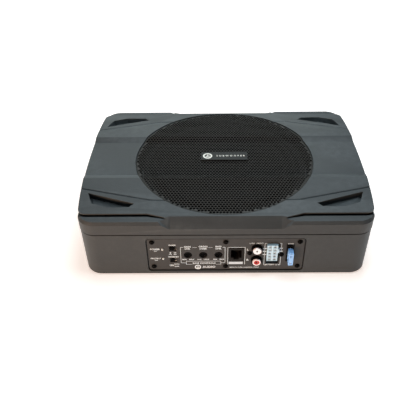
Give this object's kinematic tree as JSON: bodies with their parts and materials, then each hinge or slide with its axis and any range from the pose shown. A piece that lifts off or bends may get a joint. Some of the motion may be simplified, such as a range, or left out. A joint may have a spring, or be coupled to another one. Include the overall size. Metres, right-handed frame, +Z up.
{
  "type": "powered car subwoofer",
  "caption": "Low under-seat powered subwoofer box: creased top plate with a round perforated grille over the driver, and a front panel of controls and sockets.",
  "frame": {"origin": "bottom centre of the bounding box, on the surface the feet rest on", "axes": "+X along the length, to the right seen from the control panel; +Y from the control panel to the back; +Z up"},
  "size_m": [0.338, 0.2544, 0.0851],
  "materials": {
    "case_paint": "cast aluminium, fine-textured dark grey powder coat, satin",
    "grille_steel": "perforated steel sheet, black powder coat, satin",
    "badge": "dark grey brushed plate, satin",
    "rubber": "matt black rubber",
    "zinc": "zinc-plated steel, satin",
    "panel_paint": "dark brown-grey painted steel plate, satin",
    "black_steel": "black oxide steel, semi-gloss",
    "led_lens": "diffused clear lens",
    "black_plastic": "moulded black plastic, satin",
    "signal_white": "white plastic insert",
    "signal_red": "red plastic insert",
    "nylon_white": "natural nylon, slightly translucent",
    "fuse_blue": "transparent blue polycarbonate",
    "surround_rubber": "butyl rubber half roll, satin",
    "cone_paper": "coated pulp, matt",
    "copper": "enamelled copper winding",
    "spider_cloth": "resin-treated cotton, corrugated",
    "ferrite": "sintered ferrite, matt",
    "board_green": "green solder mask on fibreglass",
    "aluminium": "extruded, natural",
    "capacitor_sleeve": "shrink sleeve"
  },
  "bodies": {
    "root": {"badge_plate": "badge", "basket": "black_steel", "capacitor_1": "capacitor_sleeve", "capacitor_2": "capacitor_sleeve", "case_screw_1": "zinc", "case_screw_2": "zinc", "case_screw_3": "zinc", "case_screw_4": "zinc", "circuit_board": "board_green", "connector_screw_1": "black_steel", "connector_screw_2": "black_steel", "control_panel": "panel_paint", "cover_seal": "rubber", "driver_gasket": "rubber", "driver_screw_1": "black_steel", "driver_screw_2": "black_steel", "driver_screw_3": "black_steel", "driver_screw_4": "black_steel", "foot_1": "rubber", "foot_2": "rubber", "foot_3": "rubber", "foot_4": "rubber", "fuse_holder": "black_plastic", "grille": "grille_steel", "heat_sink": "aluminium", "led_power": "led_lens", "led_protect": "led_lens", "lower_case": "case_paint", "magnet": "ferrite", "panel_screw_1": "black_steel", "panel_screw_2": "black_steel", "panel_screw_3": "black_steel", "panel_screw_4": "black_steel", "panel_screw_5": "black_steel", "panel_screw_6": "black_steel", "pole_yoke": "zinc", "pot_body_1": "black_plastic", "pot_body_2": "black_plastic", "pot_body_3": "black_plastic", "power_header": "nylon_white", "rca_housing": "black_plastic", "rca_ring_red": "signal_red", "rca_ring_white": "signal_white", "remote_jack": "black_plastic", "spider": "spider_cloth", "surround": "surround_rubber", "switch_housing_1": "zinc", "switch_housing_2": "zinc", "top_cover": "case_paint", "top_plate": "zinc", "transformer": "copper"},
    "cone_assembly": {"cone": "cone_paper", "dust_cap": "cone_paper", "voice_coil": "copper"},
    "gain_pot": {"pot_shaft_1": "black_plastic"},
    "crossover_pot": {"pot_shaft_2": "black_plastic"},
    "bass_pot": {"pot_shaft_3": "black_plastic"},
    "phase_slider": {"switch_slider_1": "black_plastic"},
    "mode_slider": {"switch_slider_2": "black_plastic"},
    "fuse_body": {"fuse": "fuse_blue"}
  },
  "joints": [
    {"name": "cone_travel", "type": "slide", "parent": "root", "child": "cone_assembly", "axis": [0, 0, 1], "range_m": [-0.005, 0.005], "stiffness_N_per_m": 4000, "deforming": ["surround", "spider"]},
    {"name": "gain_turn", "type": "hinge", "parent": "root", "child": "gain_pot", "pos_m": [-0.0431, -0.1128, 0.0304], "axis": [0, -1, 0], "range_deg": [-140, 140]},
    {"name": "crossover_turn", "type": "hinge", "parent": "root", "child": "crossover_pot", "pos_m": [-0.0256, -0.1128, 0.0304], "axis": [0, -1, 0], "range_deg": [-140, 140]},
    {"name": "bass_turn", "type": "hinge", "parent": "root", "child": "bass_pot", "pos_m": [-0.0081, -0.1128, 0.0304], "axis": [0, -1, 0], "range_deg": [-140, 140]},
    {"name": "phase_slide", "type": "slide", "parent": "root", "child": "phase_slider", "axis": [1, 0, 0], "range_m": [0, 0.003]},
    {"name": "mode_slide", "type": "slide", "parent": "root", "child": "mode_slider", "axis": [1, 0, 0], "range_m": [0, 0.003]},
    {"name": "fuse_pull", "type": "slide", "parent": "root", "child": "fuse_body", "axis": [0, -1, 0], "range_m": [0, 0.022]}
  ]
}
